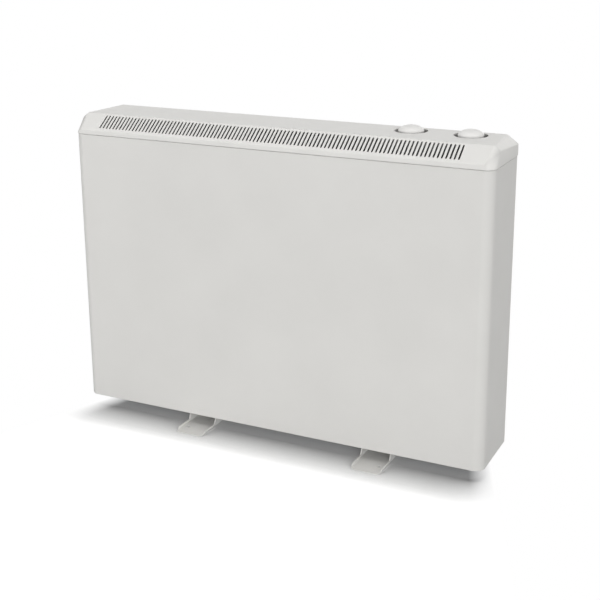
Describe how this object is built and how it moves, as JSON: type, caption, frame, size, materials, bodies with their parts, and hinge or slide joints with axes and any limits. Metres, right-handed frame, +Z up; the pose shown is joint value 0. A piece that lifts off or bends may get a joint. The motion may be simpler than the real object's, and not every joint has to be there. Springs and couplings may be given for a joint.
{
  "type": "storage heater",
  "caption": "Slimline floor-standing night storage heater: wrap-round steel casing, top cover with a slotted front slope and two domed knobs, brick core, and pressed feet.",
  "frame": {"origin": "on the floor, under the middle of the whole object's box", "axes": "+Z up; +Y towards the wall behind the heater; +X to the right, seen from the front"},
  "size_m": [1, 0.225, 0.7275],
  "materials": {
    "stoved_enamel": "satin",
    "cover_moulding": "satin",
    "galvanised_sheet": "satin",
    "zinc_plate": "satin",
    "storage_brick": "matte",
    "insulation_board": "matte",
    "element_sheath": "matte",
    "acetal": "satin",
    "brass_bar": "satin",
    "phenolic": "satin",
    "nylon_block": "satin",
    "gland_rubber": "matte",
    "brown_wire": "satin",
    "blue_wire": "satin"
  },
  "bodies": {
    "heater_body": {"front_casing": "stoved_enamel", "foot_left": "stoved_enamel", "foot_right": "stoved_enamel", "top_cover": "cover_moulding", "back_panel": "galvanised_sheet", "base_tray": "galvanised_sheet", "inner_front_panel": "galvanised_sheet", "control_bulkhead": "galvanised_sheet", "outlet_duct": "galvanised_sheet", "control_bracket": "galvanised_sheet", "foot_bolt_left": "zinc_plate", "foot_bolt_right": "zinc_plate", "casing_screw_left": "zinc_plate", "casing_screw_right": "zinc_plate", "brick_rear_1_1": "storage_brick", "brick_front_1_1": "storage_brick", "brick_rear_1_2": "storage_brick", "brick_front_1_2": "storage_brick", "brick_rear_1_3": "storage_brick", "brick_front_1_3": "storage_brick", "brick_rear_1_4": "storage_brick", "brick_front_1_4": "storage_brick", "brick_rear_2_1": "storage_brick", "brick_front_2_1": "storage_brick", "brick_rear_2_2": "storage_brick", "brick_front_2_2": "storage_brick", "brick_rear_2_3": "storage_brick", "brick_front_2_3": "storage_brick", "brick_rear_2_4": "storage_brick", "brick_front_2_4": "storage_brick", "brick_rear_3_1": "storage_brick", "brick_front_3_1": "storage_brick", "brick_rear_3_2": "storage_brick", "brick_front_3_2": "storage_brick", "brick_rear_3_3": "storage_brick", "brick_front_3_3": "storage_brick", "brick_rear_3_4": "storage_brick", "brick_front_3_4": "storage_brick", "insulation_base": "insulation_board", "insulation_top": "insulation_board", "insulation_left": "insulation_board", "insulation_right": "insulation_board", "insulation_front": "insulation_board", "insulation_rear": "insulation_board", "heating_element_1": "element_sheath", "heating_element_2": "element_sheath", "heating_element_3": "element_sheath", "charge_thermostat": "phenolic", "thermal_cutout": "phenolic", "terminal_block": "nylon_block", "cable_gland": "gland_rubber", "live_lead": "brown_wire", "mains_lead": "brown_wire", "neutral_lead": "blue_wire"},
    "output_control": {"output_knob": "cover_moulding", "output_spindle": "acetal"},
    "input_control": {"input_knob": "cover_moulding", "input_spindle": "brass_bar"},
    "damper": {"damper_flap": "galvanised_sheet", "damper_rod": "zinc_plate"}
  },
  "joints": [
    {"name": "output_knob_turn", "type": "hinge", "parent": "heater_body", "child": "output_control", "pos_m": [0.279, 0.071, 0.715], "axis": [0, 0, -1], "range_deg": [0, 270]},
    {"name": "input_knob_turn", "type": "hinge", "parent": "heater_body", "child": "input_control", "pos_m": [0.41, 0.071, 0.715], "axis": [0, 0, -1], "range_deg": [0, 270]},
    {"name": "damper_swing", "type": "hinge", "parent": "heater_body", "child": "damper", "pos_m": [0, 0.05, 0.6118], "axis": [-1, 0, 0], "range_deg": [0, 45]}
  ],
  "couplings": [
    {"joint": "damper_swing", "follows": "output_knob_turn", "ratio": 0.16667}
  ]
}
